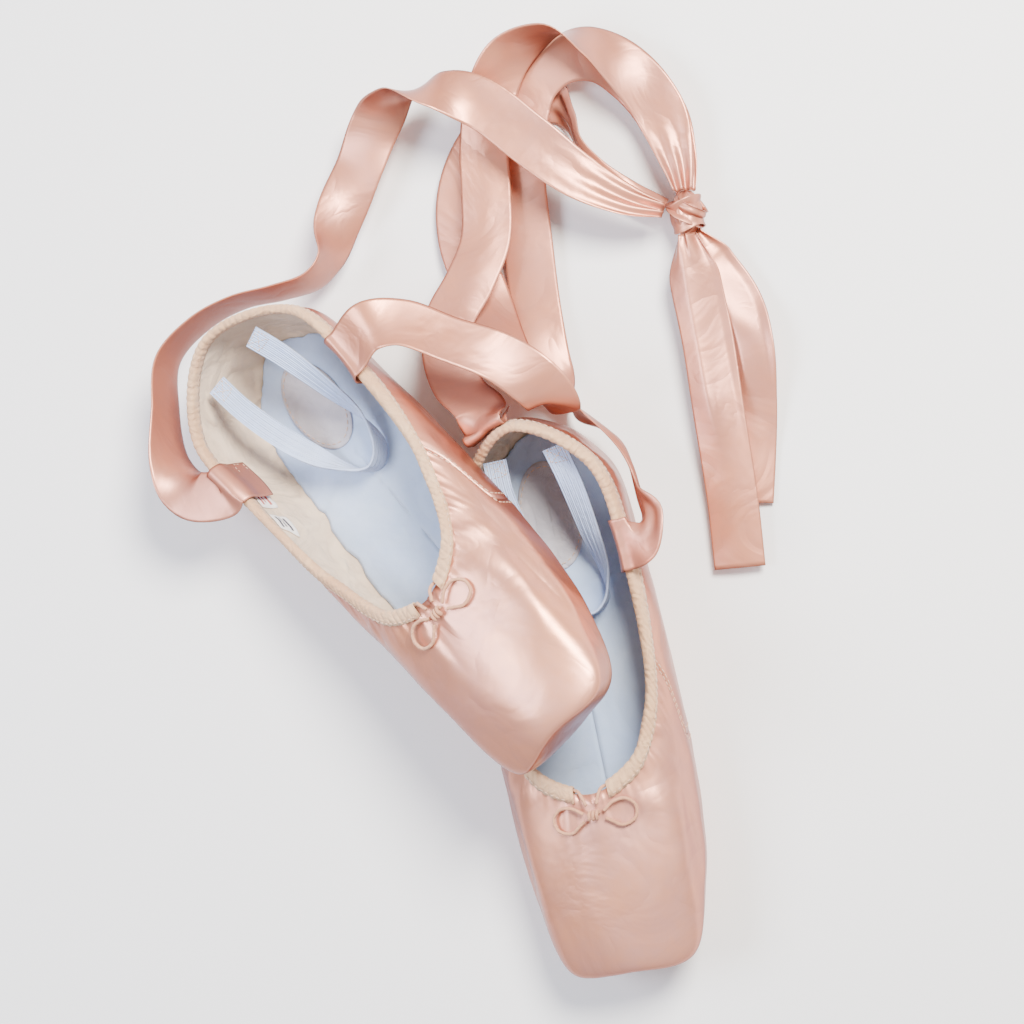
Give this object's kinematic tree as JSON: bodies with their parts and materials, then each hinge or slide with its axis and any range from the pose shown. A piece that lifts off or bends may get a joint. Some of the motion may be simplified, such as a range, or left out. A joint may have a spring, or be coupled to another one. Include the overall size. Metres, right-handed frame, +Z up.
{
  "type": "pair of pointe shoes",
  "caption": "Pair of satin pointe shoes with blocked toes, gathered drawstring edge and elastic loops, lying one over the other, tied together by long satin ribbons.",
  "frame": {"origin": "centre of the underside of the back shoe's outsole, on the ground", "axes": "+Z up off the ground, -Z out of the back shoe's sole, +Y the long way of the laid-out pair from the toes to the tied ribbons, +X towards the ribbon tails"},
  "size_m": [0.2707, 0.4046, 0.0946],
  "materials": {
    "satin": "smooth glossy satin weave, peach to cool pink sheen",
    "box_paste": "layers of paper and burlap stiffened with glue",
    "lining": "matt cream cotton, softly creased",
    "sole_leather": "scuffed suede leather",
    "shank_board": "pressed fibre board",
    "sock": "matt pale blue cotton sock",
    "pad": "grey felted pad",
    "binding": "gathered cotton tape",
    "cord": "twisted cotton drawstring",
    "elastic": "ribbed woven elastic",
    "label": "white woven label with plain bars",
    "ribbon": "satin ribbon with woven selvedges"
  },
  "bodies": {
    "pair": {"a_vamp": "satin", "a_quarter_left": "satin", "a_quarter_right": "satin", "a_toe_box": "box_paste", "a_lining": "lining", "a_outsole": "sole_leather", "a_shank_board": "shank_board", "a_insole": "sock", "a_heel_pad": "pad", "a_binding": "binding", "a_drawstring": "cord", "a_bow_knot": "cord", "a_bow_loop_left": "cord", "a_bow_loop_right": "cord", "a_size_label": "label", "a_care_label": "label", "b_vamp": "satin", "b_quarter_left": "satin", "b_quarter_right": "satin", "b_toe_box": "box_paste", "b_lining": "lining", "b_outsole": "sole_leather", "b_shank_board": "shank_board", "b_insole": "sock", "b_heel_pad": "pad", "b_binding": "binding", "b_drawstring": "cord", "b_bow_knot": "cord", "b_bow_loop_left": "cord", "b_bow_loop_right": "cord", "b_size_label": "label", "b_care_label": "label", "a_ribbon_right": "ribbon", "a_ribbon_left": "ribbon", "b_ribbon_right": "ribbon", "b_ribbon_left": "ribbon", "ribbon_knot": "ribbon"},
    "a_elastic": {"a_elastic_loop": "elastic"},
    "b_elastic": {"b_elastic_loop": "elastic"},
    "tail_front": {"ribbon_tail_front": "ribbon"},
    "tail_back": {"ribbon_tail_back": "ribbon"}
  },
  "joints": [
    {"name": "a_elastic_flip", "type": "hinge", "parent": "pair", "child": "a_elastic", "pos_m": [-0.14753, 0.13609, 0.04239], "axis": [-0.6523, -0.7207, -0.2347], "range_deg": [0, 95]},
    {"name": "b_elastic_flip", "type": "hinge", "parent": "pair", "child": "b_elastic", "pos_m": [-0.02018, 0.09514, 0.0375], "axis": [-0.9312, -0.1979, -0.306], "range_deg": [0, 12]},
    {"name": "tail_front_lift", "type": "hinge", "parent": "pair", "child": "tail_front", "pos_m": [0.0448, 0.198, 0.012], "axis": [-1, 0, 0], "range_deg": [0, 75]},
    {"name": "tail_back_swing", "type": "hinge", "parent": "pair", "child": "tail_back", "pos_m": [0.0448, 0.198, 0.012], "axis": [0, 0, 1], "range_deg": [0, 60]}
  ]
}
